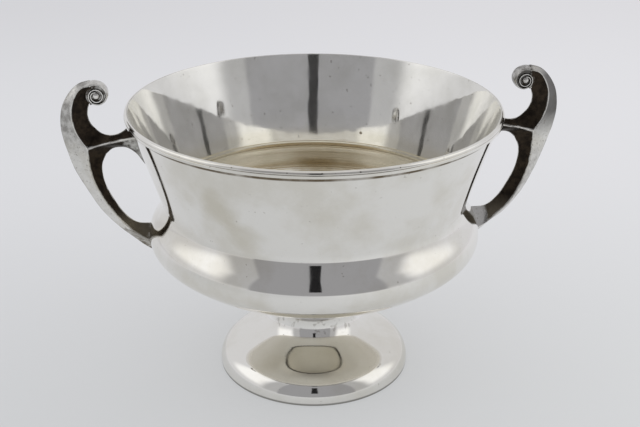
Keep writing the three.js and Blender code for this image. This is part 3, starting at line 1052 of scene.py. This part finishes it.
def skin_in_scroll(skin, side, flat, depth):
    """Dark between the turns of the spiral edge, bright on its crest."""
    across, up = flat[:, 0] - ROLL_X, flat[:, 1] - ROLL_Z
    centre = np.hypot(across, up)
    swept = (np.degrees(np.arctan2(up, across)) - SPIRAL_START) % 360 + SPIRAL_START
    by_casting = swept > STRAP_END
    rolled = centre < np.where(by_casting, 5.15, 8)
    crest = np.interp(swept, *zip(*SPIRAL))
    deep = np.clip((ROLL_HIGH - 0.1 - np.abs(depth)) / 0.5, 0, 1)
    skin[rolled] = (0.3 + 0.6 * deep[rolled]) if side > 0 else 0.75 * deep[rolled]
    skin[rolled & ~by_casting & (centre > crest)] = 0.6 if side > 0 else 0.3


# %% Marking the skin
def mark_skin_and_reflection(mesh, side):
    outer_down, ridge_down = lower_lines[side]
    co = np.empty(len(mesh.vertices) * 3)
    mesh.vertices.foreach_get("co", co)
    co = co.reshape(-1, 3) / MM
    flat = np.stack([side * co[:, 0], co[:, 2] - side * HANDLE_RISE], 1)
    spine, hand = side_of(through(ridge_up, ridge_down), flat)
    branch = side_of(ridge_arm, flat)[0]
    outer = (hand > 0) & (spine < 14) & (branch > 0.9 * spine)
    skin = skin_inside(side, flat, np.minimum(spine, branch))
    low, top = (0.3, 0.2) if side > 0 else (0.1, 0.45)
    skin[outer] = np.interp(flat[outer, 1], (80, 118, 130, 146, 155), (low, low, 0.1, top, top))
    edge_line = side_of(through(outer_up, outer_down), flat)[0] < 0.35
    skin[outer & edge_line] = np.maximum(skin[outer & edge_line], 0.55)
    # Painted reflection: on the left handle the outer facet near the tail is made dark, as the dark belly and
    # its shadow are seen in it.
    if side < 0:
        skin[outer & (flat[:, 1] < 88)] = 0.8
    skin_in_scroll(skin, side, flat, co[:, 1])
    film = np.zeros(len(co))
    if side > 0:
        film[outer] = np.interp(flat[outer, 1], (130, 146, 166, 171), (0, 1, 1, 0.2))
    for name, values in (("dark_skin_and_reflection", skin), ("grey_film", film)):
        mesh.attributes.new(name, "FLOAT", "POINT").data.foreach_set("value", values.astype(np.float32))


# %% Handle finish
GREY_FILM = (0.19, 0.185, 0.18)
DARK_SKIN = ((0.020, 0.016, 0.013), (0.046, 0.035, 0.025))
THIN_SKIN = (0.19, 0.165, 0.125)


def cast_finish():
    finish, tree, shader = new_finish("cast_silver")
    skin, film = (add(tree, "ShaderNodeAttribute", attribute_name=name).outputs["Fac"]
                  for name in ("dark_skin_and_reflection", "grey_film"))
    uneven = ramp(tree, cloud(tree, 260, 5, 0.65), 0.35, 0.65)
    low_skin = maths(tree, "MULTIPLY", skin, maths(tree, "ADD", maths(tree, "MULTIPLY", uneven, 0.8), 0.6))
    dark = maths(tree, "MAXIMUM", low_skin, ramp(tree, skin, 0.7, 0.95), clamp=True)
    pits = ramp(tree, cloud(tree, 900, 3), 0.60, 0.70)
    patches = ramp(tree, cloud(tree, 70, 4), 0.5, 0.7)
    bright = blend(tree, film, tint(tree, SILVER, patches, 0.35, WARM), GREY_FILM)
    bright = tint(tree, bright, pits, 0.55, BROWN)
    height = radius_and_height(tree)[1]
    shade = blend(tree, ramp_mm(tree, height, 100, 86), blend(tree, uneven, *DARK_SKIN), THIN_SKIN)
    tree.links.new(blend(tree, dark, bright, shade), shader.inputs["Base Color"])
    rough = maths(tree, "ADD", 0.13, maths(tree, "MULTIPLY", dark, 0.17))
    tree.links.new(rough, shader.inputs["Roughness"])
    bump(tree, shader, (cloud(tree, 120, 3), 0.10), (maths(tree, "MULTIPLY", pits, -1), 0.03))
    return finish


handle_finish = cast_finish()
print(handle_finish.name, "nodes:", len(handle_finish.node_tree.nodes))

# %% Both handles
SEAT_DEPTH = 0.5
ROLL_SEAT, PAST_CASTING = 5.1, 9


def bowl_core():
    """The block that ends the casting inside the sheet."""
    core = np.vstack([[(0, WALL_TOP[1])], shifted(bowl_outside(5), SEAT_DEPTH), [(0, 42)]])
    return turn("core", core, handle_finish, facets=FINE_FACETS)


def handle(side):
    """The finished casting on the right (1) or the left (-1)."""
    piece = casting(*lower_lines[side])
    for near, far in ((-PAST_CASTING, -ROLL_LOW), (ROLL_LOW, PAST_CASTING)):
        cut_or_join(piece, disc(ROLL_X + 0.2, ROLL_Z, ROLL_SEAT, near, far), "DIFFERENCE")
    cut_or_join(piece, scroll(), "UNION")
    turn_about = Matrix.Rotation(0 if side > 0 else math.pi, 4, "Z")
    piece.data.transform(Matrix.Translation((0, 0, side * HANDLE_RISE * MM)) @ turn_about)
    cut_or_join(piece, bowl_core(), "DIFFERENCE")
    done = plain_mesh(piece, "handle_casting_right" if side > 0 else "handle_casting_left")
    mark_skin_and_reflection(done.data, side)
    done.data.materials.clear()
    done.data.materials.append(handle_finish)
    done.data.polygons.foreach_set("use_smooth", [True] * len(done.data.polygons))
    done.data.set_sharp_from_angle(angle=math.radians(35))
    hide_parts("handle_right" if side > 0 else "handle_left")
    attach(done, "root")


for handle_side in (1, -1):
    handle(handle_side)
